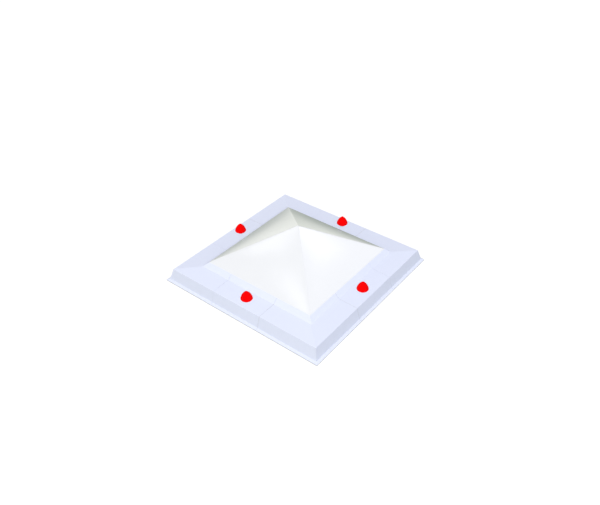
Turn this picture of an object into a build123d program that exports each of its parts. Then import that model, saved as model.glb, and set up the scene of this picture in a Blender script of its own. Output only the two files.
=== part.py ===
from build123d import *

import os
from math import cos, radians, sin, tan

os.makedirs("parts", exist_ok=True)

# A fixed square rooflight that stands on a kerb: a bent frame in eight lengths, with a pyramid of two
# glazing skins seated in its rim. Z = 0 is the underside of the drip lip, and the axes pass through the
# middle of the opening. South is -Y and east is +X.

# Driving dimensions, in millimetres and degrees
OPENING = 500.0  # clear opening that the light covers, inside the kerb
FLANGE = 75.0  # width of the flange that lies on the kerb
FLANGE_FALL = 1.5  # outward fall of the flange, which sheds the rain
EDGE_HEIGHT = 50.0  # outer edge of the flange above the lip's underside
SKIRT_LEAN = 15.8  # how far the skirt leans out from upright
RIM_RUN = 16.7  # level width of the bevelled rim round the glazing
RIM_RISE = 16.2  # height of that rim above the flange
PITCH = 30.2  # slope of the glazing
WALL = 4.0  # thickness of the frame
EDGE_ROUND = 1.5  # rounding of the flange's outer edge
RIM_ROUND = 2.5  # rounding where the rim rises from the flange

LIP_REACH = 347.0  # middle of the light to the edge of the drip lip
LIP_EDGE = 3.2  # thickness of the lip at its edge
LIP_ROOT = 6.8  # height where the lip meets the skirt

LAND = 1.5  # strip of the rim outside the glazing's edge
LEDGE = 15.0  # width of the ledge that carries the glazing
SKIN = 3.0  # thickness of each glazing skin
HIP_ROUND = 5.0  # rounding of the skins' hips, from outside
AIR_GAP = 9.0  # between the two skins
SPACER_SETBACK = 2.0  # from the seat's wall to the bar that keeps the skins apart
SPACER_WIDTH = 8.0
GASKET_FOOT = 2.0  # thickness of the gasket under the inner skin
GASKET_LIP = 1.0  # thickness of the gasket round the edges of the skins

SEAM_GAP = 0.4  # open joint between two lengths of the frame
SEAM_NEAR = 89.0  # the nearer seam of each side, from the side's middle
SEAM_FAR = 122.0  # the further seam
STRAP = 2.5  # thickness of the plate behind each seam
STRAP_LENGTH = 44.0
STRAP_FOOT = 12.0  # height of the plate's lower end
STRAP_REACH = 38.0  # how far the plate runs in under the flange

SEAL_INNER = 256.0  # kerb seal, from the middle of the light
SEAL_OUTER = 280.0
SEAL_BASE = 41.0  # underside of the kerb seal
SEAL_GAP = 0.3  # open mitre between two lengths of the seal

FIXING_INSET = 37.4  # screws in from the flange's outer edge
SCREW_HOLE = 3.25
NECK_RADIUS = 2.7  # plain neck of the screw, through the washer and the flange
THREAD_RADIUS = 3.0
THREAD_TOP = 45.0  # height where the thread starts, under the flange
THREAD_END = 12.0
SCREW_END = 6.0  # height of the screw's point
SCREW_POINT = 0.8  # radius at its end
HEAD_FLATS = 8.0
HEAD_HEIGHT = 5.0
COLLAR_RADIUS = 5.6  # collar forged under the screw's head
COLLAR_HEIGHT = 1.2
WASHER_RADIUS = 9.5
WASHER_HEIGHT = 3.0
WASHER_HOLE = 2.9

CAP_RADIUS = 22.0  # widest section of the cap over a screw, before its edge is rounded
CAP_WAIST = 8.0  # height of that section above the flange
CAP_HEIGHT = 38.5
CAP_FOOT = 13.8  # radius where the cap stands on the flange
CAP_LEAN = 12.6  # how far the cap's side leans in from upright just over that section
CAP_TIP = 4.5  # radius of the rounded tip
CAP_TIP_DROP = 2.2  # height of that rounding
CAP_EDGE_ROUND = 2.5  # how far the rounding of the widest edge runs, each way
CAP_CORE_STEPS = 3  # straight tapers that the cap's inside follows its side with
CAP_WALL = 2.0
BOSS_RADIUS = 7.0  # tube inside the cap, round the screw's head
BOSS_BORE = 5.8
BOSS_FOOT = 4.6  # lower end of the tube, above the flange
BOSS_TOP = 33.0

# Each side's direction and the places of its two seams, along the side from its middle
SIDES = {
    "south": (-90, -SEAM_FAR, SEAM_NEAR),
    "east": (0, -SEAM_NEAR, SEAM_FAR),
    "north": (90, -SEAM_NEAR, SEAM_FAR),
    "west": (180, -SEAM_NEAR, SEAM_FAR),
}
CORNERS = {
    "south_east": ("south", "east"),
    "north_east": ("east", "north"),
    "north_west": ("north", "west"),
    "south_west": ("west", "south"),
}

# Sizes that follow from them, as distances from the middle of the light and as heights
EDGE = OPENING / 2 + FLANGE
FALL = tan(radians(FLANGE_FALL))
FLANGE_TOP = EDGE_HEIGHT + FLANGE * FALL
RIM = OPENING / 2 - RIM_RUN
RIM_TOP = FLANGE_TOP + RIM_RISE
COS_PITCH = cos(radians(PITCH))
SIN_PITCH = sin(radians(PITCH))
APEX = RIM_TOP + RIM * tan(radians(PITCH))
STACK = 2 * SKIN + AIR_GAP + GASKET_FOOT
FIXING = EDGE - FIXING_INSET
FIXING_HEIGHT = EDGE_HEIGHT + FIXING_INSET * FALL


def on_skirt(height):
    """Point of the skirt's outer face at a height."""
    return EDGE + (EDGE_HEIGHT - height) * tan(radians(SKIRT_LEAN)), height


def on_flange(reach, depth=0.0):
    """Point of the flange at a distance from the middle of the light, or as far under its upper face."""
    return reach, EDGE_HEIGHT + (EDGE - reach) * FALL - depth / cos(radians(FLANGE_FALL))


def in_seat(up_slope, depth):
    """Point in the glazing's seat, up the slope from its wall and down from the glazing's upper face."""
    reach = RIM - (LAND + up_slope) * COS_PITCH - depth * SIN_PITCH
    height = RIM_TOP + (LAND + up_slope) * SIN_PITCH - depth * COS_PITCH
    return reach, height


def outward(side):
    """Unit vector that points out of a side."""
    return Vector(1, 0, 0).rotate(Axis.Z, SIDES[side][0])


def along(side):
    """Unit vector that runs along a side, counter-clockwise seen from above."""
    return outward(side).rotate(Axis.Z, 90)


def section_plane(side, place=0.0):
    """Plane that cuts across a side: its X runs out of the light and its Y runs up."""
    return Plane(origin=along(side) * place, x_dir=outward(side), z_dir=-along(side))


def mitre_plane(side, end, gap):
    """Upright plane through a corner, facing the middle of a side, half a gap in from the true mitre."""
    facing = (outward(side) - along(side) * end).normalized()
    return Plane(origin=facing * gap / 2, z_dir=facing)


def fixing_point(side, height=0.0):
    """Point on a screw's axis, at a height above the upper face of the flange."""
    return outward(side) * FIXING + Vector(0, 0, FIXING_HEIGHT + height)


def flange_face(side):
    """Plane of the flange's upper face on one side."""
    tilt = radians(FLANGE_FALL)
    return Plane(origin=fixing_point(side), z_dir=outward(side) * sin(tilt) + Vector(0, 0, cos(tilt)))


def square_path():
    """Path once round the light, from the middle of the south side."""
    corners = [(0, -EDGE), (EDGE, -EDGE), (EDGE, EDGE), (-EDGE, EDGE), (-EDGE, -EDGE), (0, -EDGE)]
    with BuildLine() as path:
        Polyline(*corners)
    return path


# Section of the frame: one sheet bent into skirt, flange, rim and glazing seat, and the drip lip
with BuildSketch() as frame_section:
    with BuildLine():
        Polyline(
            on_skirt(-WALL),
            on_skirt(EDGE_HEIGHT),
            on_flange(OPENING / 2),
            (RIM, RIM_TOP),
            in_seat(0, 0),
            in_seat(0, STACK),
            in_seat(LEDGE, STACK),
        )
        offset(amount=WALL, side=Side.LEFT, kind=Kind.INTERSECTION, mode=Mode.REPLACE)
    make_face()
    with BuildLine():
        Polyline(on_skirt(0), (LIP_REACH, 0), (LIP_REACH, LIP_EDGE), on_skirt(LIP_ROOT), close=True)
    make_face()
    with Locations((EDGE, 0)):
        Rectangle(FLANGE, 2 * WALL, align=(Align.CENTER, Align.MAX), mode=Mode.SUBTRACT)
    fillet(frame_section.vertices().sort_by_distance((EDGE, EDGE_HEIGHT))[0], EDGE_ROUND)
    fillet(frame_section.vertices().sort_by_distance((*on_flange(OPENING / 2), 0))[0], RIM_ROUND)

# Section of the plate behind a seam, which lies against the skirt and the flange from inside
with BuildSketch() as strap_section:
    for depth, mode in ((WALL + STRAP, Mode.ADD), (WALL, Mode.SUBTRACT)):
        with BuildLine():
            Polyline(on_skirt(STRAP_FOOT), on_skirt(EDGE_HEIGHT), on_flange(EDGE - STRAP_REACH))
            offset(amount=depth, side=Side.LEFT, kind=Kind.INTERSECTION, mode=Mode.REPLACE)
        make_face(mode=mode)


def frame_side(side):
    """Straight length of the frame between the two seams of a side, with its screw hole."""
    start, end = SIDES[side][1:]
    with BuildPart() as length:
        with BuildSketch(section_plane(side, end - SEAM_GAP / 2)):
            add(frame_section.sketch)
        extrude(amount=end - start - SEAM_GAP)
        with Locations(fixing_point(side, WALL)):
            Hole(SCREW_HOLE, depth=4 * WALL)
    return length


def frame_corner(corner):
    """Corner of the frame: the section carried round a right angle, mitred at the turn."""
    first, second = CORNERS[corner]
    start = SIDES[first][2] + SEAM_GAP / 2
    end = SIDES[second][1] - SEAM_GAP / 2
    with BuildPart() as turn:
        with BuildLine() as path:
            Polyline(
                outward(first) * EDGE + along(first) * start,
                (outward(first) + along(first)) * EDGE,
                outward(second) * EDGE + along(second) * end,
            )
        with BuildSketch(section_plane(first, start)):
            add(frame_section.sketch)
        sweep(path=path.line, transition=Transition.RIGHT)
    return turn


def joint_strap(side, place):
    """Plate that bridges one seam from inside."""
    with BuildPart() as strap:
        with BuildSketch(section_plane(side, place)):
            add(strap_section.sketch)
        extrude(amount=STRAP_LENGTH / 2, both=True)
    return strap


def kerb_seal(side):
    """Foam strip under the flange, flat below, where the light rests on its kerb."""
    with BuildPart() as seal:
        with BuildSketch(section_plane(side)):
            with BuildLine():
                Polyline(
                    (SEAL_INNER, SEAL_BASE),
                    (SEAL_OUTER, SEAL_BASE),
                    on_flange(SEAL_OUTER, WALL),
                    on_flange(SEAL_INNER, WALL),
                    close=True,
                )
            make_face()
        extrude(amount=EDGE, both=True)
        for end in (-1, 1):
            split(bisect_by=mitre_plane(side, end, SEAL_GAP), keep=Keep.TOP)
    return seal


def seat_ring(outline):
    """Ring of one section carried round the glazing's seat, square to the slope."""
    with BuildPart() as ring:
        with BuildSketch(section_plane("south")):
            with BuildLine():
                Polyline(*(in_seat(*point) for point in outline), close=True)
            make_face()
        sweep(path=square_path().line, transition=Transition.RIGHT)
    return ring


def under_slope(depth):
    """Solid pyramid whose faces lie at a depth under the glazing's upper face, down to the lip."""
    apex_height = APEX - depth / COS_PITCH
    base = 2 * apex_height / tan(radians(PITCH))
    with BuildPart() as pyramid:
        with BuildSketch() as footprint:
            Rectangle(base, base)
        loft(sections=[footprint.sketch, Vertex(0, 0, apex_height)], ruled=True)
    return pyramid


def glazing_skin(depth):
    """Hollow pyramid sheet, rounded over its hips, its edge cut square to the slope to fit the seat."""
    rim, rim_height = in_seat(GASKET_LIP, depth)
    toe, toe_height = in_seat(GASKET_LIP, depth + SKIN)
    with BuildPart() as trim:
        with BuildSketch(Plane.XY.offset(toe_height)):
            Rectangle(2 * toe, 2 * toe)
        with BuildSketch(Plane.XY.offset(rim_height)) as rim_square:
            Rectangle(2 * rim, 2 * rim)
        loft(ruled=True)
        extrude(rim_square.sketch, amount=APEX - rim_height)
    with BuildPart() as skin:
        add(under_slope(depth).part)
        fillet(skin.edges().group_by(Axis.Z)[-1], HIP_ROUND)
        add(trim.part, mode=Mode.INTERSECT)
        add(under_slope(depth + SKIN).part, mode=Mode.SUBTRACT)
    return skin


def fixing_screw(side):
    """Hexagon-headed screw that goes down through the flange into the kerb."""
    under_head = fixing_point(side, WASHER_HEIGHT)
    foot = outward(side) * FIXING
    with BuildPart() as screw:
        with BuildSketch(Plane(under_head)):
            Circle(COLLAR_RADIUS)
        extrude(amount=COLLAR_HEIGHT)
        with BuildSketch(Plane(under_head)):
            RegularPolygon(HEAD_FLATS / 2, 6, major_radius=False)
        extrude(amount=HEAD_HEIGHT)
        with BuildSketch(Plane(under_head)):
            Circle(NECK_RADIUS)
        extrude(amount=THREAD_TOP - under_head.Z)
        with BuildSketch(Plane(foot + Vector(0, 0, THREAD_TOP))):
            Circle(THREAD_RADIUS)
        extrude(amount=THREAD_END - THREAD_TOP)
        with BuildSketch(Plane(foot + Vector(0, 0, THREAD_END))):
            Circle(THREAD_RADIUS)
        with BuildSketch(Plane(foot + Vector(0, 0, SCREW_END))):
            Circle(SCREW_POINT)
        loft()
    return screw


def sealing_washer(side):
    """Washer under the screw's head, which takes up the flange's fall."""
    with BuildPart() as washer:
        with BuildSketch(Plane(fixing_point(side, WASHER_HEIGHT))):
            Circle(WASHER_RADIUS)
            Circle(WASHER_HOLE, mode=Mode.SUBTRACT)
        extrude(amount=-2 * WASHER_HEIGHT)
        split(bisect_by=flange_face(side), keep=Keep.TOP)
    return washer


def in_wall(line, place):
    """Point on the inner face of the cap's wall, square in from a place on its outer line."""
    return line @ place + (line % place).rotate(Axis.Z, 90) * CAP_WALL


# Half section of the cap: a wall that turns in at its widest edge and bows up to a round tip, and the
# tube inside it. The wall runs on below the flange, where it is cut off.
with BuildSketch() as cap_section:
    foot = Vector(CAP_FOOT, 0)
    widest = Vector(CAP_RADIUS, CAP_WAIST)
    tip = Vector(0, CAP_HEIGHT)
    leaning = Vector(0, 1).rotate(Axis.Z, CAP_LEAN)
    under_edge = widest + (foot - widest).normalized() * CAP_EDGE_ROUND
    over_edge = widest + leaning * CAP_EDGE_ROUND
    with BuildLine():
        Polyline(tip, (0, -CAP_WALL), (CAP_FOOT, -CAP_WALL), foot, under_edge)
        Bezier(under_edge, widest, over_edge)
        cap_side = TangentArc(over_edge, (CAP_TIP, CAP_HEIGHT - CAP_TIP_DROP), tangent=leaning)
        shoulder = cap_side @ 1
        rising = cap_side % 1
        Bezier(shoulder, shoulder + rising * (CAP_TIP_DROP / rising.Y), tip)
    make_face()
    with BuildLine():
        Polyline(
            (0, -CAP_WALL),
            (CAP_FOOT - CAP_WALL, -CAP_WALL),
            (CAP_FOOT - CAP_WALL, 0),
            *(in_wall(cap_side, step / CAP_CORE_STEPS) for step in range(CAP_CORE_STEPS + 1)),
            (0, CAP_HEIGHT - CAP_WALL - CAP_TIP_DROP),
            close=True,
        )
    make_face(mode=Mode.SUBTRACT)
    with Locations((BOSS_BORE, BOSS_FOOT)):
        Rectangle(BOSS_RADIUS - BOSS_BORE, BOSS_TOP - BOSS_FOOT, align=Align.MIN)


def fixing_cap(side):
    """Hollow acorn-shaped cap over a screw, with a tube inside that grips the screw's head."""
    with BuildPart() as cap:
        with BuildSketch(Plane(origin=fixing_point(side), x_dir=(1, 0, 0), z_dir=(0, -1, 0))):
            add(cap_section.sketch)
        revolve(axis=Axis(fixing_point(side), (0, 0, 1)))
        split(bisect_by=flange_face(side), keep=Keep.TOP)
    return cap


for name in CORNERS:
    corner_length = frame_corner(name)
    corner_length.part.label = f"frame_corner_{name}"
    export_step(corner_length.part, f"parts/frame_corner_{name}.step")

for name, (_, first_seam, second_seam) in SIDES.items():
    side_length = frame_side(name)
    side_length.part.label = f"frame_side_{name}"
    export_step(side_length.part, f"parts/frame_side_{name}.step")

    for order, seam in (("first", first_seam), ("second", second_seam)):
        strap = joint_strap(name, seam)
        strap.part.label = f"joint_strap_{name}_{order}"
        export_step(strap.part, f"parts/joint_strap_{name}_{order}.step")

    seal = kerb_seal(name)
    seal.part.label = f"kerb_seal_{name}"
    export_step(seal.part, f"parts/kerb_seal_{name}.step")

    screw = fixing_screw(name)
    screw.part.label = f"fixing_screw_{name}"
    export_step(screw.part, f"parts/fixing_screw_{name}.step")

    washer = sealing_washer(name)
    washer.part.label = f"sealing_washer_{name}"
    export_step(washer.part, f"parts/sealing_washer_{name}.step")

    cap = fixing_cap(name)
    cap.part.label = f"fixing_cap_{name}"
    export_step(cap.part, f"parts/fixing_cap_{name}.step")

outer_glazing = glazing_skin(0)
outer_glazing.part.label = "outer_glazing"
export_step(outer_glazing.part, "parts/outer_glazing.step")

inner_glazing = glazing_skin(SKIN + AIR_GAP)
inner_glazing.part.label = "inner_glazing"
export_step(inner_glazing.part, "parts/inner_glazing.step")

# The gasket is an angle: its lip stands round the skins' edges and its foot lies under the inner skin
gasket = seat_ring(
    [
        (0, 0),
        (0, STACK),
        (LEDGE, STACK),
        (LEDGE, STACK - GASKET_FOOT),
        (GASKET_LIP, STACK - GASKET_FOOT),
        (GASKET_LIP, 0),
    ]
)
gasket.part.label = "glazing_gasket"
export_step(gasket.part, "parts/glazing_gasket.step")

spacer = seat_ring(
    [
        (SPACER_SETBACK, SKIN),
        (SPACER_SETBACK, SKIN + AIR_GAP),
        (SPACER_SETBACK + SPACER_WIDTH, SKIN + AIR_GAP),
        (SPACER_SETBACK + SPACER_WIDTH, SKIN),
    ]
)
spacer.part.label = "glazing_spacer"
export_step(spacer.part, "parts/glazing_spacer.step")
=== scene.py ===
"""Dresses a square pyramid rooflight: finishes, fine details and a plain studio, as a Blender add-on."""

from math import acos, atan2, cos, pi, radians, sin, tan

import bmesh
import bpy
from bpy.props import FloatProperty, FloatVectorProperty, IntProperty, PointerProperty
from mathutils import Matrix, Vector


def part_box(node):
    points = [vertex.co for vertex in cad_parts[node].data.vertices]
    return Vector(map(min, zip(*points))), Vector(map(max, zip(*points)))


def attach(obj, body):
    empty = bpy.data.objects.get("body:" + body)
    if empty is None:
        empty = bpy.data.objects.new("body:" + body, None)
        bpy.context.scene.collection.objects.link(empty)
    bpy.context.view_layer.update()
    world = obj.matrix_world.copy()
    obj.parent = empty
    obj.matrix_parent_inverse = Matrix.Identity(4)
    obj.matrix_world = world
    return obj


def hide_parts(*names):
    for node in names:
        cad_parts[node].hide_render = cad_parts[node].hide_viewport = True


bl_info = {
    "name": "Pyramid Rooflight",
    "version": (1, 0, 0),
    "blender": (4, 5, 0),
    "location": "3D View > Sidebar > Rooflight",
    "description": "Gives a square pyramid rooflight its finishes, its fine details and a plain studio",
    "category": "Object",
}

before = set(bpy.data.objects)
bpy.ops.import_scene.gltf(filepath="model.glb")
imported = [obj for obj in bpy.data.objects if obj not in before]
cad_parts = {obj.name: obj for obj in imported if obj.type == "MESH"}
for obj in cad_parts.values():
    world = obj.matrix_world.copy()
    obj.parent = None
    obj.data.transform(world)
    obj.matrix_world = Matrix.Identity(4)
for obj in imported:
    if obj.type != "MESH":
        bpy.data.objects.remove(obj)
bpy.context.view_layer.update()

BODY = "root"
MM = 0.001
# The near seam of each side lies this far from the side's middle, in metres
SEAM = 0.089
# The flange starts and ends this far from the middle of the light, in metres, and falls outward
FLANGE = (0.25, 0.325)
FALL = tan(radians(1.5))
# The way each side faces, in degrees from +X; south is the photograph's front left
SIDES = {"south": -90, "east": 0, "north": 90, "west": 180}


def linear(hex_colour):
    """Linear RGB of an sRGB hex colour."""
    channels = (int(hex_colour[start : start + 2], 16) / 255 for start in (1, 3, 5))
    return tuple(c / 12.92 if c <= 0.04045 else ((c + 0.055) / 1.055) ** 2.4 for c in channels)


def length_setting(name, description, millimetres):
    """A length that a user may change, given in millimetres."""
    return FloatProperty(
        name=name,
        description=description,
        default=millimetres * MM,
        subtype="DISTANCE",
        unit="LENGTH",
        precision=5,
    )


def angle_setting(name, description, degrees):
    """An angle that a user may change, given in degrees."""
    return FloatProperty(name=name, description=description, default=radians(degrees), subtype="ANGLE")


def colour_setting(name, description, hex_colour):
    """A colour that a user may change, given as sRGB hex."""
    return FloatVectorProperty(
        name=name, description=description, default=linear(hex_colour), subtype="COLOR", min=0, max=1
    )


class RooflightGlazing(bpy.types.PropertyGroup):
    pitch: angle_setting("Pitch", "Slope of the four faces", 30.2)
    skin: length_setting("Skin", "Thickness of each glazing skin", 3.0)
    hip_round: length_setting("Hip rounding", "Radius of the rounded hips and apex", 5.0)
    bulge: length_setting("Bulge", "How far each face bows out at its middle", 2.0)
    rings: IntProperty(name="Rings", description="Rows of faces up the slope", default=44, min=8)
    opal: colour_setting("Opal", "Colour of the opal sheet", "#F0F1F2")


class RooflightFrame(bpy.types.PropertyGroup):
    colour: colour_setting("Frame", "Colour of the extruded frame", "#E8EDFE")
    die_line: length_setting("Die lines", "Spacing of the faint lines along each length", 1.6)
    shade_fall: length_setting("Shade fall", "How much further the flange falls in its shade alone", 10.5)
    # This grey is dirt in the near seams together with painted shade that deepens each seam's own shadow
    dirt_and_shade: colour_setting("Dirt", "Colour of the dirt in the seams and on the drip edge", "#CFD0D3")
    seam_dirt_and_shade: length_setting("Seam dirt", "How far the dirt in a seam spreads to each side", 0.4)
    # On the lip's outer edge the same grey is a painted shadow line along the lip's foot
    drip_edge_shade: length_setting("Drip dirt", "Height of the dirt on the lip's outer edge", 3.0)
    gasket: colour_setting("Gasket", "Colour of the glazing's gasket", "#F2F3F4")
    rubber: colour_setting("Rubber", "Colour of the sealing washers", "#3E4240")
    foam: colour_setting("Foam", "Colour of the kerb seal", "#3B3E40")
    foam_cell: length_setting("Foam cell", "Size of the cells in the kerb seal's skin", 1.1)
    foam_round: length_setting("Foam edge", "Rounding of the kerb seal's edges", 1.8)
    spacer: colour_setting("Spacer", "Colour of the bar between the skins", "#8C9296")


class RooflightFixings(bpy.types.PropertyGroup):
    red: colour_setting("Cap", "Colour of the fixing caps", "#FF0000")
    cap_wall: length_setting("Cap wall", "Thickness of the cap's wall", 2.0)
    cap_foot: length_setting("Cap foot", "Radius where the cap stands on the flange", 13.8)
    cap_waist: length_setting("Cap waist", "Height of the cap's widest edge over the flange", 8.2)
    cap_edge: length_setting("Cap edge", "Rounding of the cap's widest edge", 2.6)
    cap_bow: length_setting("Cap bow", "How far the cap's side bows out", 2.7)
    cap_tip: length_setting("Cap tip", "Radius of the cap's rounded tip", 5.7)
    zinc: colour_setting("Zinc", "Colour of the plated screws", "#D3D5D6")
    aluminium: colour_setting("Aluminium", "Colour of the joint straps and washer discs", "#DADCDE")
    head_flats: length_setting("Head", "Size of the screw's hexagon across its flats", 8.0)
    head_height: length_setting("Head height", "Height of the screw's head with its collar", 5.0)
    collar: length_setting("Collar", "Radius of the collar forged under the head", 5.6)
    collar_height: length_setting("Collar height", "Thickness of that collar", 1.2)
    neck: length_setting("Neck", "Radius of the plain neck under the head", 2.7)
    neck_end: length_setting("Neck end", "Height where the thread starts", 45.0)
    thread: length_setting("Thread", "Radius over the thread", 3.0)
    taper: length_setting("Taper", "Height where the thread starts to run to a point", 12.0)
    thread_pitch: length_setting("Thread pitch", "Distance from one turn of the thread to the next", 1.8)
    thread_depth: length_setting("Thread depth", "Height of the thread over its core", 0.5)
    washer: length_setting("Washer", "Thickness of the sealing washer at the screw", 3.0)


class RooflightStudio(bpy.types.PropertyGroup):
    azimuth: angle_setting("Azimuth", "Camera's bearing round the light, from the south", 37.86)
    elevation: angle_setting("Elevation", "Camera's height above the horizon", 37.4)
    distance: FloatProperty(
        name="Distance", description="Camera to the point it looks at", default=2.385, unit="LENGTH"
    )
    aim: FloatVectorProperty(
        name="Aim",
        description="Point that the camera looks at",
        default=(-0.0038, 0.0169, 0.0706),
        unit="LENGTH",
    )
    lens: FloatProperty(
        name="Lens", description="Focal length on a 36 mm sensor", default=38.3, subtype="DISTANCE_CAMERA"
    )
    sky: FloatProperty(name="Sky", description="Strength of the even light from all round", default=0.683)
    sky_colour: colour_setting("Sky colour", "Colour of the even light, a little cool", "#F2F4FF")
    lamp_power: FloatProperty(
        name="Lamps", description="Power of each soft lamp", default=132, subtype="POWER", unit="POWER"
    )
    lamp_distance: FloatProperty(name="Lamp distance", description="Lamp to object", default=7, unit="LENGTH")
    lamp_size: FloatProperty(name="Lamp size", description="Width of each lamp", default=3.8, unit="LENGTH")
    floor: colour_setting("Floor", "Grey of the floor as it lights the object", "#B5B5B5")
    floor_seen: colour_setting("Seen floor", "Grey that takes the object's shadow for the camera", "#6E6E6E")
    floor_glow: FloatProperty(name="Floor glow", description="White added to the seen floor", default=0.93)
    near_ground: colour_setting("Near ground", "Shade that the glazing mirrors from close by", "#344E08")
    far_ground: colour_setting("Far ground", "Tint that it mirrors from further off", "#FDFFEA")


SETTINGS = {
    "rooflight_glazing": RooflightGlazing,
    "rooflight_frame": RooflightFrame,
    "rooflight_fixings": RooflightFixings,
    "rooflight_studio": RooflightStudio,
}


# Materials


def add_node(tree, kind, sockets=None, **settings):
    """Adds a node, sets its options, and gives its inputs their values or links."""
    node = tree.nodes.new(kind)
    for option, value in settings.items():
        setattr(node, option, value)
    for socket, value in (sockets or {}).items():
        if isinstance(value, bpy.types.NodeSocket):
            tree.links.new(value, node.inputs[socket])
        else:
            node.inputs[socket].default_value = value
    return node


def new_material(name):
    """An empty node material, with its tree."""
    material = bpy.data.materials.new(name)
    material.use_nodes = True
    material.node_tree.nodes.clear()
    return material, material.node_tree


def finish(tree, shader):
    """Links the shader to the material's output."""
    add_node(tree, "ShaderNodeOutputMaterial", {"Surface": shader.outputs[0]})


def place_in(tree, scale=(1, 1, 1)):
    """The point of the surface in metres, stretched by a scale."""
    point = add_node(tree, "ShaderNodeTexCoord").outputs["Object"]
    return add_node(tree, "ShaderNodeVectorMath", {0: point, 1: scale}, operation="MULTIPLY").outputs[0]


def along_section(tree, scale=(1, 1, 1)):
    """The point of the frame's section: how far out of the light it lies, and how high, on any side."""
    parts = add_node(tree, "ShaderNodeSeparateXYZ", {0: place_in(tree, scale)})
    across = add_node(tree, "ShaderNodeMath", {0: parts.outputs[0]}, operation="ABSOLUTE")
    along = add_node(tree, "ShaderNodeMath", {0: parts.outputs[1]}, operation="ABSOLUTE")
    reach = add_node(tree, "ShaderNodeMath", {0: across.outputs[0], 1: along.outputs[0]}, operation="MAXIMUM")
    return add_node(tree, "ShaderNodeCombineXYZ", {0: reach.outputs[0], 1: parts.outputs[2]}).outputs[0]


def grain(tree, point, size, detail=2.0):
    """Noise whose lumps measure about a size in metres."""
    sockets = {"Vector": point, "Scale": 1 / size, "Detail": detail}
    return add_node(tree, "ShaderNodeTexNoise", sockets).outputs[0]


def between(tree, factor, low, high):
    """A number from low to high as a factor goes from 0 to 1."""
    return add_node(tree, "ShaderNodeMapRange", {"Value": factor, "To Min": low, "To Max": high}).outputs[0]


def blend(tree, factor, first, second):
    """A colour from the first to the second as a factor goes from 0 to 1."""
    return add_node(tree, "ShaderNodeMix", {0: factor, 6: first, 7: second}, data_type="RGBA").outputs[2]


def mottled(tree, factor, colour, depth):
    """A colour that darkens and lightens by a depth as a factor changes."""
    shades = [tuple(min(1, c * (1 + change)) for c in colour) + (1,) for change in (-depth, depth)]
    return blend(tree, factor, *shades)


def relief(tree, height, depth, strength=1.0, over=None):
    """A bump of a real depth in metres, laid over another."""
    sockets = {"Height": height, "Distance": depth, "Strength": strength}
    if over is not None:
        sockets["Normal"] = over
    return add_node(tree, "ShaderNodeBump", sockets).outputs[0]


def dirt_and_shade_on_frame(tree, settings):
    """1 where the frame is darkened: dirt and painted shade in the near seam of each side, and a painted
    shadow line on the drip lip's outer edge.
    """
    place = add_node(tree, "ShaderNodeSeparateXYZ", {0: place_in(tree)}).outputs
    # West has its near seam at +Y and east at -Y, so the sign of X lays one on the other
    half = add_node(tree, "ShaderNodeMath", {0: place[0]}, operation="SIGN").outputs[0]
    along = add_node(tree, "ShaderNodeMath", {0: place[1], 1: half}, operation="MULTIPLY").outputs[0]
    marks = (
        # Near seams: dirt, with painted shade that deepens each gap's shadow
        (place[0], SEAM, settings.seam_dirt_and_shade),
        (along, -SEAM, settings.seam_dirt_and_shade),
        # Drip lip's outer edge: a painted shadow line, drawn in a dust-like grey
        (place[2], 0, settings.drip_edge_shade),
    )
    dirt_and_shade = 0
    for value, middle, spread in marks:
        near = add_node(tree, "ShaderNodeMath", {0: value, 1: middle, 2: spread}, operation="COMPARE")
        dirt_and_shade = add_node(tree, "ShaderNodeMath", {0: near.outputs[0], 1: dirt_and_shade}, operation="MAXIMUM").outputs[0]
    return dirt_and_shade


def flange_shade(tree, section, settings):
    """A bump that lets the light see the flange fall more than its shape does."""
    reach = add_node(tree, "ShaderNodeSeparateXYZ", {0: section}).outputs[0]
    start, end = FLANGE
    over = {"Value": reach, "From Min": start, "From Max": end, "To Min": 0, "To Max": -settings.shade_fall}
    return relief(tree, add_node(tree, "ShaderNodeMapRange", over).outputs[0], 1.0)


def extruded_pvcu(settings):
    """PVC-U, extruded and welded: an even satin gloss, faint lines along each length, dirt with painted shade
    in the near seams, and a painted shadow line on the drip edge.
    """
    material, tree = new_material("PVC-U, extruded")
    section = along_section(tree)
    # The lines of a real die lie closer than a picture shows, so they are drawn coarser
    lines = grain(tree, section, settings.die_line, 3.0)
    ripple = grain(tree, place_in(tree), 18 * MM)
    cloud = grain(tree, place_in(tree), 90 * MM, 3.0)
    lean = flange_shade(tree, section, settings)
    bump = relief(tree, lines, 0.012 * MM, 0.6, relief(tree, ripple, 0.05 * MM, 0.5, lean))
    bare_colour = mottled(tree, cloud, settings.colour, 0.012)
    shader = add_node(
        tree,
        "ShaderNodeBsdfPrincipled",
        {
            # The base colour turns grey where the seams have dirt and painted shade and the drip edge has a
            # painted shadow
            "Base Color": blend(tree, dirt_and_shade_on_frame(tree, settings), bare_colour, (*settings.dirt_and_shade, 1)),
            "Roughness": between(tree, lines, 0.3, 0.38),
            "IOR": 1.53,
            "Normal": bump,
        },
    )
    finish(tree, shader)
    return material


def thermoformed_polycarbonate(settings):
    """Opal polycarbonate, thermoformed: milky and glossy, with the slow waviness of a sheet drawn hot."""
    material, tree = new_material("Opal polycarbonate, thermoformed")
    cloud = grain(tree, place_in(tree), 70 * MM)
    wave = grain(tree, place_in(tree), 45 * MM, 1.0)
    peel = grain(tree, place_in(tree), 1.8 * MM)
    bump = relief(tree, peel, 0.004 * MM, 0.5, relief(tree, wave, 0.35 * MM, 0.6))
    shader = add_node(
        tree,
        "ShaderNodeBsdfPrincipled",
        {
            "Base Color": mottled(tree, cloud, settings.opal, 0.012),
            "Roughness": between(tree, peel, 0.08, 0.12),
            "IOR": 1.585,
            "Normal": bump,
        },
    )
    finish(tree, shader)
    return material


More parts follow.
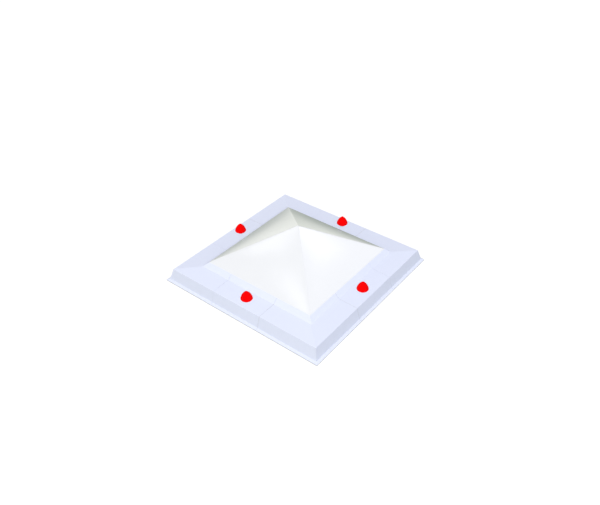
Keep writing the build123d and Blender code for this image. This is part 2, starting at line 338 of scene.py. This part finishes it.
def rubber(name, colour):
    """Rubber, extruded or moulded: dull, with a fine grit, a slow bloom and no clear highlight."""
    material, tree = new_material(name)
    # Real grit is finer than a picture shows, so it is drawn coarser
    grit = grain(tree, place_in(tree), 0.5 * MM, 4.0)
    bloom = grain(tree, place_in(tree), 25 * MM, 3.0)
    shader = add_node(
        tree,
        "ShaderNodeBsdfPrincipled",
        {
            "Base Color": mottled(tree, bloom, colour, 0.08),
            "Roughness": between(tree, grit, 0.65, 0.8),
            "IOR": 1.52,
            "Normal": relief(tree, grit, 0.03 * MM, 0.7),
        },
    )
    finish(tree, shader)
    return material


def closed_cell_foam(settings):
    """Polyethylene foam, closed cells: matt, with the small domes of its outer cells."""
    material, tree = new_material("Polyethylene foam, closed cell")
    cells = add_node(
        tree,
        "ShaderNodeTexVoronoi",
        {"Vector": place_in(tree), "Scale": 1 / settings.foam_cell},
        feature="SMOOTH_F1",
    ).outputs["Distance"]
    patch = grain(tree, place_in(tree), 12 * MM, 3.0)
    shader = add_node(
        tree,
        "ShaderNodeBsdfPrincipled",
        {
            "Base Color": mottled(tree, patch, settings.foam, 0.15),
            "Roughness": between(tree, patch, 0.85, 0.95),
            "IOR": 1.5,
            "Normal": relief(tree, cells, -0.35 * MM, 0.8),
        },
    )
    finish(tree, shader)
    return material


def moulded_polypropylene(settings):
    """Polypropylene, moulded in a spark-eroded tool: strong even red with a fine satin grain."""
    material, tree = new_material("Red polypropylene, moulded")
    # A spark-eroded grain measures about 0.1 mm and is drawn coarser, so that it shows close up
    spark = grain(tree, place_in(tree), 0.7 * MM, 3.0)
    flow = grain(tree, place_in(tree, (1, 1, 0.3)), 9 * MM)
    shader = add_node(
        tree,
        "ShaderNodeBsdfPrincipled",
        {
            "Base Color": mottled(tree, flow, settings.red, 0.03),
            "Roughness": between(tree, spark, 0.5, 0.6),
            "IOR": 1.49,
            # The caps show no highlight, so their gloss is held low
            "Specular IOR Level": 0.05,
            "Normal": relief(tree, spark, 0.03 * MM, 0.6),
        },
    )
    finish(tree, shader)
    return material


def zinc_plated_steel(settings):
    """Steel, rolled and zinc plated: bright, slightly cloudy, with marks round its turned parts."""
    material, tree = new_material("Steel, zinc plated")
    marks = grain(tree, place_in(tree, (0.2, 0.2, 1)), 0.4 * MM)
    cloud = grain(tree, place_in(tree), 4 * MM, 3.0)
    shader = add_node(
        tree,
        "ShaderNodeBsdfPrincipled",
        {
            "Base Color": mottled(tree, cloud, settings.zinc, 0.06),
            "Metallic": 1.0,
            "Roughness": between(tree, cloud, 0.22, 0.36),
            "Normal": relief(tree, marks, 0.01 * MM, 0.5),
        },
    )
    finish(tree, shader)
    return material


def rolled_aluminium(settings):
    """Aluminium, rolled: a soft grey sheen, drawn out along the rolling direction."""
    material, tree = new_material("Aluminium, rolled")
    lines = grain(tree, place_in(tree, (1, 1, 0.04)), 0.5 * MM, 3.0)
    cloud = grain(tree, place_in(tree), 15 * MM)
    shader = add_node(
        tree,
        "ShaderNodeBsdfPrincipled",
        {
            "Base Color": mottled(tree, cloud, settings.aluminium, 0.04),
            "Metallic": 1.0,
            "Roughness": between(tree, lines, 0.3, 0.45),
            "Normal": relief(tree, lines, 0.01 * MM, 0.5),
        },
    )
    finish(tree, shader)
    return material


def extruded_nylon(settings):
    """Glass-filled nylon, extruded: matt grey with short pale fibres in its skin."""
    material, tree = new_material("Glass-filled nylon, extruded")
    fibres = grain(tree, along_section(tree), 0.6 * MM, 4.0)
    shader = add_node(
        tree,
        "ShaderNodeBsdfPrincipled",
        {
            "Base Color": mottled(tree, fibres, settings.spacer, 0.1),
            "Roughness": between(tree, fibres, 0.5, 0.65),
            "IOR": 1.53,
            "Normal": relief(tree, fibres, 0.02 * MM, 0.5),
        },
    )
    finish(tree, shader)
    return material


# Shapes


def arc(start, end, bow, steps):
    """Points on an arc from start to end that bows out to the right of its way by a height."""
    chord = end - start
    half = chord.length / 2
    radius = (half * half + bow * bow) / (2 * bow)
    away = Vector((chord.y, -chord.x)).normalized()
    centre = (start + end) / 2 - away * (radius - bow)
    first, last = start - centre, end - centre
    turn = first.angle_signed(last)
    return [centre + Matrix.Rotation(-turn * step / steps, 2) @ first for step in range(steps + 1)]


def loft(bm, rings, closed=False, material=0):
    """Joins rings of as many points into a surface; a ring of one point is a pole."""
    rows = [[bm.verts.new(point) for point in ring] for ring in rings]
    following = rows[1:] + rows[:1] if closed else rows[1:]
    for row, other in zip(rows, following):
        count = max(len(row), len(other))
        for place in range(count):
            after = (place + 1) % count
            corners = (row[place % len(row)], row[after % len(row)])
            corners += (other[after % len(other)], other[place % len(other)])
            face = bm.faces.new(tuple(dict.fromkeys(corners)))
            face.material_index = material
    return rows


# Edges that turn more than this stay sharp
CREASE = radians(32)


def make_piece(bm, name, materials, slot, replaced):
    """Turns a bmesh into a piece that stands for a CAD node, smooth but for its sharp edges."""
    bmesh.ops.recalc_face_normals(bm, faces=bm.faces)
    for face in bm.faces:
        face.smooth = True
    for edge in bm.edges:
        edge.smooth = edge.calc_face_angle(0) < CREASE
    mesh = bpy.data.meshes.new(name)
    bm.to_mesh(mesh)
    bm.free()
    for material in materials:
        mesh.materials.append(material)
    piece = bpy.data.objects.new(name, mesh)
    bpy.context.scene.collection.objects.link(piece)
    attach(piece, BODY)
    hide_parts(replaced)
    # The red caps leave no mirrored spot, no red glow and no shadow on the pale pieces near them
    piece.visible_glossy = piece.visible_diffuse = piece.visible_shadow = slot != "cap"
    return piece


def cover(nodes, material):
    """Gives CAD nodes a material, and keeps them out of what the glazing mirrors."""
    for name in nodes:
        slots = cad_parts[name].data.materials
        slots.clear()
        slots.append(material)
        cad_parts[name].visible_glossy = False


def named(start):
    """Names of the CAD nodes that start with a word."""
    return [name for name in sorted(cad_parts) if name.startswith(start)]


def bearing_vector(bearing, height=0.0):
    """Unit vector at a bearing from +X and a height over the horizon."""
    return Vector((cos(bearing) * cos(height), sin(bearing) * cos(height), sin(height)))


def outward(side):
    """Level unit vector out of a side."""
    return bearing_vector(radians(SIDES[side]))


def rounded_square(reach, corner, run_steps, corner_steps):
    """Points round a square with rounded corners, each with its facing and its place along, -1 to 1."""
    corner = min(corner, reach)
    run = reach - corner
    points = []
    for quarter in range(4):
        turn = Matrix.Rotation(quarter * pi / 2, 2)
        for step in range(run_steps):
            place = 2 * step / run_steps - 1
            points.append((turn @ Vector((reach, run * place)), turn @ Vector((1, 0)), place))
        for step in range(corner_steps):
            angle = step / corner_steps * pi / 2
            facing = Vector((cos(angle), sin(angle)))
            points.append((turn @ (Vector((run, run)) + corner * facing), turn @ facing, 1))
    return points


# Faces along each side of the glazing, and round each hip or from the top ring to the apex
RUN_STEPS = 28
ROUND_STEPS = 5


def pyramid_rings(reach, height, hip_round, settings):
    """Rings of a pyramid's surface, from its edge to its apex, with rounded hips and bowed faces."""
    pitch = settings.pitch
    corner = hip_round * sin(pitch)
    sharp_apex = height + reach * tan(pitch)
    centre = sharp_apex - hip_round / cos(pitch)
    rings = []
    for row in range(settings.rings + 1):
        share = row / settings.rings
        at = reach + (corner - reach) * share
        ring = []
        for point, facing, place in rounded_square(at, corner, RUN_STEPS, ROUND_STEPS):
            # 27 / 4 makes the bubble 1 at its highest, a third of the way up the face
            bubble = 27 / 4 * (1 - at / reach) * (at / reach) ** 2 * (1 - place * place)
            lift = settings.bulge * bubble
            spot = point + facing * lift * sin(pitch)
            ring.append((*spot, sharp_apex - at * tan(pitch) + lift * cos(pitch)))
        rings.append(ring)
    for row in range(1, ROUND_STEPS):
        lean = pitch * (1 - row / ROUND_STEPS)
        ring = rounded_square(hip_round * sin(lean), hip_round, RUN_STEPS, ROUND_STEPS)
        rings.append([(*point, centre + hip_round * cos(lean)) for point, _, _ in ring])
    rings.append([(0, 0, centre + hip_round)])
    return rings


def glazing_sheet(node, settings, material):
    """One moulded skin of the glazing, in its CAD solid's place."""
    low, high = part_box(node)
    reach, toe = high.x, low.z
    edge = toe + settings.skin * cos(settings.pitch)
    inner_reach = reach - settings.skin * sin(settings.pitch)
    bm = bmesh.new()
    outer = pyramid_rings(reach, edge, settings.hip_round, settings)
    inner = pyramid_rings(inner_reach, toe, settings.hip_round - settings.skin, settings)
    loft(bm, outer[::-1] + inner)
    return make_piece(bm, f"{node}_sheet", [material], "glazing", node)


def square_section_along(side, section, steps):
    """Rings of a section (reach, height) carried along a side and mitred at both ends."""
    out = outward(side)
    run = Vector((-out.y, out.x, 0))
    up = Vector((0, 0, 1))
    rings = []
    for step in range(steps + 1):
        place = 2 * step / steps - 1
        rings.append([out * reach + run * reach * place + up * height for reach, height in section])
    return rings


def rounded_section(corners, radius, steps):
    """Outline of a convex section, given anticlockwise, with rounded corners."""
    outline = []
    for index, corner in enumerate(corners):
        before = (corners[index - 1] - corner).normalized()
        after = (corners[(index + 1) % len(corners)] - corner).normalized()
        half = before.angle(after) / 2
        start = corner + before * radius / tan(half)
        end = corner + after * radius / tan(half)
        outline += arc(start, end, radius * (1 - sin(half)), steps)
    return outline


def kerb_seal_strip(side, settings, material):
    """Foam strip under the flange, with soft edges, mitred to its neighbours."""
    node = f"kerb_seal_{side}"
    low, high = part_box(node)
    out = outward(side)
    reaches = sorted(abs(out.dot(corner)) for corner in (low, high))
    corners = [
        Vector((reaches[0], low.z)),
        Vector((reaches[1], low.z)),
        Vector((reaches[1], high.z - (reaches[1] - reaches[0]) * FALL)),
        Vector((reaches[0], high.z)),
    ]
    section = rounded_section(corners, settings.foam_round, 5)
    bm = bmesh.new()
    rows = loft(bm, square_section_along(side, section, 60))
    bm.faces.new(rows[0])
    bm.faces.new(rows[-1])
    return make_piece(bm, f"{node}_foam", [material], "foam", node)


def in_metres(section):
    """Points of a section that is written in millimetres."""
    return [Vector(point) * MM for point in section]


def turned(profile, centre, steps, foot=None):
    """Rings of a turned form: profile points (radius, height) swept round an upright axis."""
    rings = []
    for radius, height in profile:
        count = steps if radius > 1e-7 else 1
        ring = []
        for step in range(count):
            angle = 2 * pi * step / count
            spot = Vector((radius * cos(angle), radius * sin(angle), height))
            if foot is not None:
                spot.z += foot(spot)
            ring.append(centre + spot)
        rings.append(ring)
    return rings


# How far the cap's rounded tip reaches down from its top, and the faces on each rounding
DOME = radians(52)
CAP_STEPS = 8
# Fine marks of the cap's mould: half the parting line's width as an angle of its edge, and the gate's radius
PARTING = radians(4)
GATE = 1.0 * MM
MARK_DEPTH = 0.25 * MM
# Section of the tube inside the cap, as radius and height over the flange in millimetres
CAP_TUBE = ((5.8, 4.6), (7.0, 4.6), (7.0, 31.5), (5.8, 32.5))


def cap_outline(widest, top, settings, inset):
    """Profile of the cap's shell, from the tip down to its foot, drawn smaller by an inset."""
    edge = settings.cap_edge
    centre = Vector((widest - edge, settings.cap_waist))
    shoulder = Vector((settings.cap_tip * sin(DOME), top - settings.cap_tip * (1 - cos(DOME))))
    foot = Vector((settings.cap_foot, 0))
    to_foot, to_shoulder = foot - centre, shoulder - centre
    low = atan2(to_foot.y, to_foot.x) + acos(edge / to_foot.length)
    bow = 2 * atan2(2 * settings.cap_bow, to_shoulder.length)
    high = atan2(to_shoulder.y, to_shoulder.x) - acos(edge / to_shoulder.length) - bow
    radius = edge - inset if edge > inset else 0
    turns = [low + (high - low) * step / CAP_STEPS for step in range(CAP_STEPS + 1)]
    if not inset:
        turns = sorted([turn for turn in turns if abs(turn) > 1.2 * PARTING] + [-PARTING, 0, PARTING])
    round_edge = [
        centre + Vector((cos(turn), sin(turn))) * (radius if turn else radius - MARK_DEPTH) for turn in turns
    ]
    tip = settings.cap_tip - inset
    crown = Vector((0, top - settings.cap_tip))
    falls = [DOME * (1 - step / CAP_STEPS) for step in range(CAP_STEPS + 1)]
    dome = [crown + Vector((sin(fall), cos(fall))) * tip for fall in falls]
    if not inset:
        sunk = top - 1.5 * MARK_DEPTH
        dome = [point for point in dome if point.x > GATE] + [Vector((0.8 * GATE, sunk)), Vector((0, sunk))]
    side = arc(round_edge[-1], dome[0], settings.cap_bow, 14)
    return ([Vector((foot.x - inset, 0))] + round_edge + side[1:-1] + dome)[::-1]


def fixing_cap_shell(side, settings, material):
    """Hollow acorn cap with a tube inside, a parting line at its widest edge and a gate mark on its tip."""
    node = f"fixing_cap_{side}"
    low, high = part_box(node)
    out = outward(side)
    middle = (low + high) / 2
    widest = (high.x - low.x) / 2
    base = Vector((middle.x, middle.y, low.z + settings.cap_foot * FALL))
    top = high.z - base.z

    def on_slope(spot):
        return -out.dot(spot) * FALL * max(0, 1 - spot.z / settings.cap_waist)

    outside = cap_outline(widest, top, settings, 0)
    inside = cap_outline(widest, top, settings, settings.cap_wall)
    bm = bmesh.new()
    loft(bm, turned(outside + inside[::-1], base, 96, on_slope))
    loft(bm, turned(in_metres(CAP_TUBE), base, 48), closed=True)
    return make_piece(bm, f"{node}_shell", [material], "cap", node)


# Faces round a screw, and rows of faces for each turn of its thread
SCREW_STEPS = 48
TURN_ROWS = 8
# How much of the core and of the thread's height the point loses, and half a ridge as a share of the pitch
CORE_LOSS = 0.82
RIDGE_LOSS = 0.6
RIDGE_HALF = 0.22


def fixing_screw_thread(side, settings, material):
    """Hexagon screw with a chamfered head, a forged collar and a rolled thread."""
    node = f"fixing_screw_{side}"
    low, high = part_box(node)
    base = Vector(((low.x + high.x) / 2, (low.y + high.y) / 2, 0))
    flats = settings.head_flats / 2
    head = high.z - settings.head_height
    collar_top = head + settings.collar_height
    angles = [2 * pi * step / SCREW_STEPS for step in range(SCREW_STEPS)]

    def hexagon(height):
        spread = [flats / cos((a + pi / 6) % (pi / 3) - pi / 6) for a in angles]
        return [base + Vector((r * cos(a), r * sin(a), height)) for r, a in zip(spread, angles)]

    def circle(radius, height):
        return [base + Vector((radius * cos(a), radius * sin(a), height)) for a in angles]

    def thread(height):
        share = max(0, min(1, (settings.taper - height) / (settings.taper - low.z)))
        core = (settings.thread - settings.thread_depth) * (1 - CORE_LOSS * share)
        ring = []
        for a in angles:
            phase = (height / settings.thread_pitch - a / (2 * pi)) % 1
            ridge = max(0, 1 - abs(phase - 0.5) / RIDGE_HALF)
            radius = core + settings.thread_depth * ridge * (1 - RIDGE_LOSS * share)
            ring.append(base + Vector((radius * cos(a), radius * sin(a), height)))
        return ring

    # From the hollow in the head's top over its chamfer, its flats and the collar to the neck
    hollow = high.z - 0.6 * MM
    rings = [[base + Vector((0, 0, hollow))], circle(flats * 0.72, hollow)]
    rings += [circle(flats * 0.82, high.z), circle(flats * 0.97, high.z)]
    rings += [hexagon(high.z - 0.5 * MM), hexagon(collar_top)]
    rings += [circle(settings.collar - 0.4 * MM, collar_top), circle(settings.collar, collar_top - 0.3 * MM)]
    rings += [circle(settings.collar, head)]
    rings += [circle(settings.neck, head), circle(settings.neck, settings.neck_end)]
    length = settings.neck_end - low.z
    rows = int(length / (settings.thread_pitch / TURN_ROWS))
    rings += [thread(settings.neck_end - length * row / rows) for row in range(1, rows)]
    rings.append([base + Vector((0, 0, low.z))])
    bm = bmesh.new()
    loft(bm, rings)
    return make_piece(bm, f"{node}_thread", [material], "screw", node)


# Sections of a sealing washer's rubber ring and metal disc, as radius and height in millimetres
WASHER_RING = ((3.1, 0), (8.9, 0), (9.3, 0.5), (9.4, 1.0), (9.3, 1.6), (9.0, 2.1), (3.1, 2.1))
WASHER_DISC = ((2.9, 2.1), (9.4, 2.1), (9.5, 2.2), (9.5, 2.8), (9.3, 3.0), (2.9, 3.0))
WASHER_STEPS = 64
# The ring's foot follows the flange's slope, and over this height the washer is level
WASHER_LEVEL = 2 * MM


def sealing_washer_disc(side, settings, ring, metal):
    """Metal disc bonded to a rubber ring that bulges a little where it is pressed."""
    node = f"sealing_washer_{side}"
    low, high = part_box(node)
    out = outward(side)
    base = Vector(((low.x + high.x) / 2, (low.y + high.y) / 2, high.z - settings.washer))

    def on_slope(spot):
        return -out.dot(spot) * FALL * max(0, 1 - spot.z / WASHER_LEVEL)

    bm = bmesh.new()
    loft(bm, turned(in_metres(WASHER_RING), base, WASHER_STEPS, on_slope), closed=True)
    loft(bm, turned(in_metres(WASHER_DISC), base, WASHER_STEPS), closed=True, material=1)
    return make_piece(bm, f"{node}_disc", [ring, metal], "rubber", node)


# Operators


class ROOFLIGHT_OT_frame(bpy.types.Operator):
    """Finish the eight lengths of the frame"""

    bl_idname = "rooflight.frame"
    bl_label = "Frame"

    def execute(self, context):
        cover(named("frame_"), extruded_pvcu(context.scene.rooflight_frame))
        return {"FINISHED"}


class ROOFLIGHT_OT_glazing(bpy.types.Operator):
    """Make both skins of the glazing"""

    bl_idname = "rooflight.glazing"
    bl_label = "Glazing"

    def execute(self, context):
        settings = context.scene.rooflight_glazing
        opal = thermoformed_polycarbonate(settings)
        for node in ("outer_glazing", "inner_glazing"):
            glazing_sheet(node, settings, opal)
        return {"FINISHED"}


class ROOFLIGHT_OT_gasket(bpy.types.Operator):
    """Finish the gasket round the glazing and the bar between its skins"""

    bl_idname = "rooflight.gasket"
    bl_label = "Gasket and spacer"

    def execute(self, context):
        settings = context.scene.rooflight_frame
        cover(["glazing_gasket"], rubber("TPE rubber, extruded", settings.gasket))
        cover(["glazing_spacer"], extruded_nylon(settings))
        return {"FINISHED"}


class ROOFLIGHT_OT_kerb_seals(bpy.types.Operator):
    """Make the four foam strips that rest on the kerb"""

    bl_idname = "rooflight.kerb_seals"
    bl_label = "Kerb seals"

    def execute(self, context):
        settings = context.scene.rooflight_frame
        foam = closed_cell_foam(settings)
        for side in SIDES:
            kerb_seal_strip(side, settings, foam)
        return {"FINISHED"}


class ROOFLIGHT_OT_joint_straps(bpy.types.Operator):
    """Finish the eight plates behind the seams"""

    bl_idname = "rooflight.joint_straps"
    bl_label = "Joint straps"

    def execute(self, context):
        cover(named("joint_strap_"), rolled_aluminium(context.scene.rooflight_fixings))
        return {"FINISHED"}


class ROOFLIGHT_OT_caps(bpy.types.Operator):
    """Make the four red caps over the screws"""

    bl_idname = "rooflight.caps"
    bl_label = "Fixing caps"

    def execute(self, context):
        settings = context.scene.rooflight_fixings
        red = moulded_polypropylene(settings)
        for side in SIDES:
            fixing_cap_shell(side, settings, red)
        return {"FINISHED"}


class ROOFLIGHT_OT_screws(bpy.types.Operator):
    """Make the four screws and their sealing washers"""

    bl_idname = "rooflight.screws"
    bl_label = "Screws and washers"

    def execute(self, context):
        settings = context.scene.rooflight_fixings
        zinc = zinc_plated_steel(settings)
        ring = rubber("EPDM rubber, moulded", context.scene.rooflight_frame.rubber)
        metal = rolled_aluminium(settings)
        for side in SIDES:
            fixing_screw_thread(side, settings, zinc)
            sealing_washer_disc(side, settings, ring, metal)
        return {"FINISHED"}


def ray_share(tree, *kinds):
    """1 for the rays of some kinds, and 0 for the rest."""
    path = add_node(tree, "ShaderNodeLightPath")
    share = path.outputs[kinds[0]]
    for kind in kinds[1:]:
        sockets = {0: share, 1: path.outputs[kind]}
        share = add_node(tree, "ShaderNodeMath", sockets, operation="MAXIMUM").outputs[0]
    return share


SEEN = ("Is Camera Ray", "Is Glossy Ray", "Is Transmission Ray")
# Bright clouds that the glazing mirrors: bearing and height in degrees, breadth in degrees, and brightness
CLOUDS = (
    (-147, 58, 5, 1.7),
    (-162.5, 53.5, 3.5, 2.3),
    (-162, 57, 3.5, 1.7),
    (65, 42, 20, 1.4),
    (69.5, 45.5, 6, 2.3),
)
# Soft lamps at the front: bearing and height in degrees, share of the power, and colour
LAMPS = {"left_lamp": (-90, 40, 1.0, "#FFFDEB"), "right_lamp": (-27, 36, 1.05, "#FDFEFF")}
# The mirrored ground: how far off the middle in metres, and how far from the near shade to the far one
GROUND = ((0.38, 0.07), (0.44, 0.12), (0.5, 0.25), (0.55, 0.4), (0.62, 0.53), (0.75, 0.69), (1.0, 0.87))
GROUND_BRIGHTNESS = 1.58
# The dark ground reaches a little further to the east and west than to the north and south
GROUND_STRETCH = (0.9, 1, 1)
# Haze over the mirrored sky: its scale, and its faintest and brightest strength
HAZE_SCALE = 7
HAZE = (0.9, 1.3)
FLOOR_SIZE = 12


def make_world(settings):
    """Even light from all round, behind a white that the camera sees and clouds that the gloss mirrors."""
    world = bpy.data.worlds.new("studio")
    world.use_nodes = True
    tree = world.node_tree
    tree.nodes.clear()
    sky_colour = (*settings.sky_colour, 1)
    light = add_node(tree, "ShaderNodeBackground", {"Color": sky_colour, "Strength": settings.sky})
    white = add_node(tree, "ShaderNodeBackground", {"Color": (1, 1, 1, 1), "Strength": 1.0})
    way = add_node(tree, "ShaderNodeTexCoord").outputs["Generated"]
    haze = add_node(tree, "ShaderNodeTexNoise", {"Vector": way, "Scale": HAZE_SCALE, "Detail": 3})
    glow = between(tree, haze.outputs[0], *HAZE)
    for bearing, height, breadth, brightness in CLOUDS:
        towards = bearing_vector(radians(bearing), radians(height))
        off = add_node(tree, "ShaderNodeVectorMath", {0: way, 1: towards}, operation="DISTANCE")
        fading = {"From Max": radians(breadth), "To Min": brightness, "To Max": 0}
        fading["Value"] = off.outputs["Value"]
        cloud = add_node(tree, "ShaderNodeMapRange", fading, interpolation_type="SMOOTHSTEP")
        glow = add_node(tree, "ShaderNodeMath", {0: glow, 1: cloud.outputs[0]}).outputs[0]
    sky = add_node(tree, "ShaderNodeBackground", {"Color": (1, 1, 1, 1), "Strength": glow})
    seen = {0: ray_share(tree, "Is Glossy Ray"), 1: white.outputs[0], 2: sky.outputs[0]}
    seen = add_node(tree, "ShaderNodeMixShader", seen)
    mix = {0: ray_share(tree, *SEEN), 1: light.outputs[0], 2: seen.outputs[0]}
    mix = add_node(tree, "ShaderNodeMixShader", mix)
    add_node(tree, "ShaderNodeOutputWorld", {"Surface": mix.outputs[0]})
    bpy.context.scene.world = world


def make_floor(settings):
    """White floor that keeps the object's faint shadow; the glazing mirrors a darker ground in its place."""
    material, tree = new_material("Painted floor")
    pale = add_node(tree, "ShaderNodeBsdfDiffuse", {"Color": (*settings.floor, 1)})
    faint = add_node(tree, "ShaderNodeBsdfDiffuse", {"Color": (*settings.floor_seen, 1)})
    glow = add_node(tree, "ShaderNodeEmission", {"Strength": settings.floor_glow})
    seen = add_node(tree, "ShaderNodeAddShader", {0: faint.outputs[0], 1: glow.outputs[0]})
    reach = add_node(tree, "ShaderNodeSeparateXYZ", {0: along_section(tree, GROUND_STRETCH)}).outputs[0]
    shade = add_node(tree, "ShaderNodeValToRGB", {"Fac": reach})
    stops = shade.color_ramp.elements
    stops.remove(stops[1])
    near, far = Vector(settings.near_ground), Vector(settings.far_ground)
    stops[0].color = (*near, 1)
    for place, share in GROUND:
        stops.new(place).color = (*near.lerp(far, share), 1)
    ground = {"Color": shade.outputs[0], "Strength": GROUND_BRIGHTNESS}
    mirrored = add_node(tree, "ShaderNodeEmission", ground)
    seen = {0: ray_share(tree, "Is Glossy Ray"), 1: seen.outputs[0], 2: mirrored.outputs[0]}
    seen = add_node(tree, "ShaderNodeMixShader", seen)
    mix = {0: ray_share(tree, *SEEN), 1: pale.outputs[0], 2: seen.outputs[0]}
    mix = add_node(tree, "ShaderNodeMixShader", mix)
    finish(tree, mix)
    # The glow is there to be seen, and isn't one of the lamps
    material.cycles.emission_sampling = "NONE"
    bm = bmesh.new()
    bmesh.ops.create_grid(bm, x_segments=8, y_segments=8, size=FLOOR_SIZE)
    mesh = bpy.data.meshes.new("studio_floor")
    bm.to_mesh(mesh)
    bm.free()
    mesh.materials.append(material)
    floor = bpy.data.objects.new("studio_floor", mesh)
    bpy.context.scene.collection.objects.link(floor)


def make_lamps(settings):
    """Two large soft lamps at the front, one each side of the camera."""
    for name, (bearing, height, share, colour) in LAMPS.items():
        light = bpy.data.lights.new(name, "AREA")
        light.shape = "SQUARE"
        light.size = settings.lamp_size
        light.energy = settings.lamp_power * share
        light.color = linear(colour)
        lamp = bpy.data.objects.new(name, light)
        # The glazing mirrors the clouds and not the lamps
        lamp.visible_glossy = False
        bpy.context.scene.collection.objects.link(lamp)
        towards = bearing_vector(radians(bearing), radians(height))
        lamp.location = towards * settings.lamp_distance
        lamp.rotation_mode = "QUATERNION"
        lamp.rotation_quaternion = towards.to_track_quat("Z", "Y")


def make_camera(settings):
    """Camera where the photograph was taken from."""
    camera = bpy.data.cameras.new("camera")
    camera.lens = settings.lens
    camera.sensor_width = 36
    eye = bpy.data.objects.new("camera", camera)
    bpy.context.scene.collection.objects.link(eye)
    back = bearing_vector(settings.azimuth - pi / 2, settings.elevation)
    eye.location = Vector(settings.aim) + back * settings.distance
    eye.rotation_mode = "QUATERNION"
    eye.rotation_quaternion = (-back).to_track_quat("-Z", "Y")
    bpy.context.scene.camera = eye


class ROOFLIGHT_OT_studio(bpy.types.Operator):
    """Make the floor, the light and the camera"""

    bl_idname = "rooflight.studio"
    bl_label = "Studio"

    def execute(self, context):
        settings = context.scene.rooflight_studio
        context.scene.view_settings.view_transform = "Standard"
        make_world(settings)
        make_floor(settings)
        make_lamps(settings)
        make_camera(settings)
        return {"FINISHED"}


OPERATORS = (
    ROOFLIGHT_OT_frame,
    ROOFLIGHT_OT_glazing,
    ROOFLIGHT_OT_gasket,
    ROOFLIGHT_OT_kerb_seals,
    ROOFLIGHT_OT_joint_straps,
    ROOFLIGHT_OT_caps,
    ROOFLIGHT_OT_screws,
    ROOFLIGHT_OT_studio,
)


class ROOFLIGHT_PT_panel(bpy.types.Panel):
    """Sizes, colours and pieces of the rooflight"""

    bl_idname = "ROOFLIGHT_PT_panel"
    bl_label = "Pyramid rooflight"
    bl_space_type = "VIEW_3D"
    bl_region_type = "UI"
    bl_category = "Rooflight"

    def draw(self, context):
        for attribute, group in SETTINGS.items():
            box = self.layout.box()
            for name in group.__annotations__:
                box.prop(getattr(context.scene, attribute), name)
        for operator in OPERATORS:
            self.layout.operator(operator.bl_idname)


def register():
    for group in SETTINGS.values():
        bpy.utils.register_class(group)
    for attribute, group in SETTINGS.items():
        setattr(bpy.types.Scene, attribute, PointerProperty(type=group))
    for item in (*OPERATORS, ROOFLIGHT_PT_panel):
        bpy.utils.register_class(item)


def unregister():
    for item in (ROOFLIGHT_PT_panel, *reversed(OPERATORS)):
        bpy.utils.unregister_class(item)
    for attribute in SETTINGS:
        delattr(bpy.types.Scene, attribute)
    for group in reversed(SETTINGS.values()):
        bpy.utils.unregister_class(group)


def main():
    """Makes every piece and the studio."""
    register()
    bpy.ops.rooflight.frame()
    bpy.ops.rooflight.glazing()
    bpy.ops.rooflight.gasket()
    bpy.ops.rooflight.kerb_seals()
    bpy.ops.rooflight.joint_straps()
    bpy.ops.rooflight.caps()
    bpy.ops.rooflight.screws()
    bpy.ops.rooflight.studio()


if __name__ == "__main__":
    main()
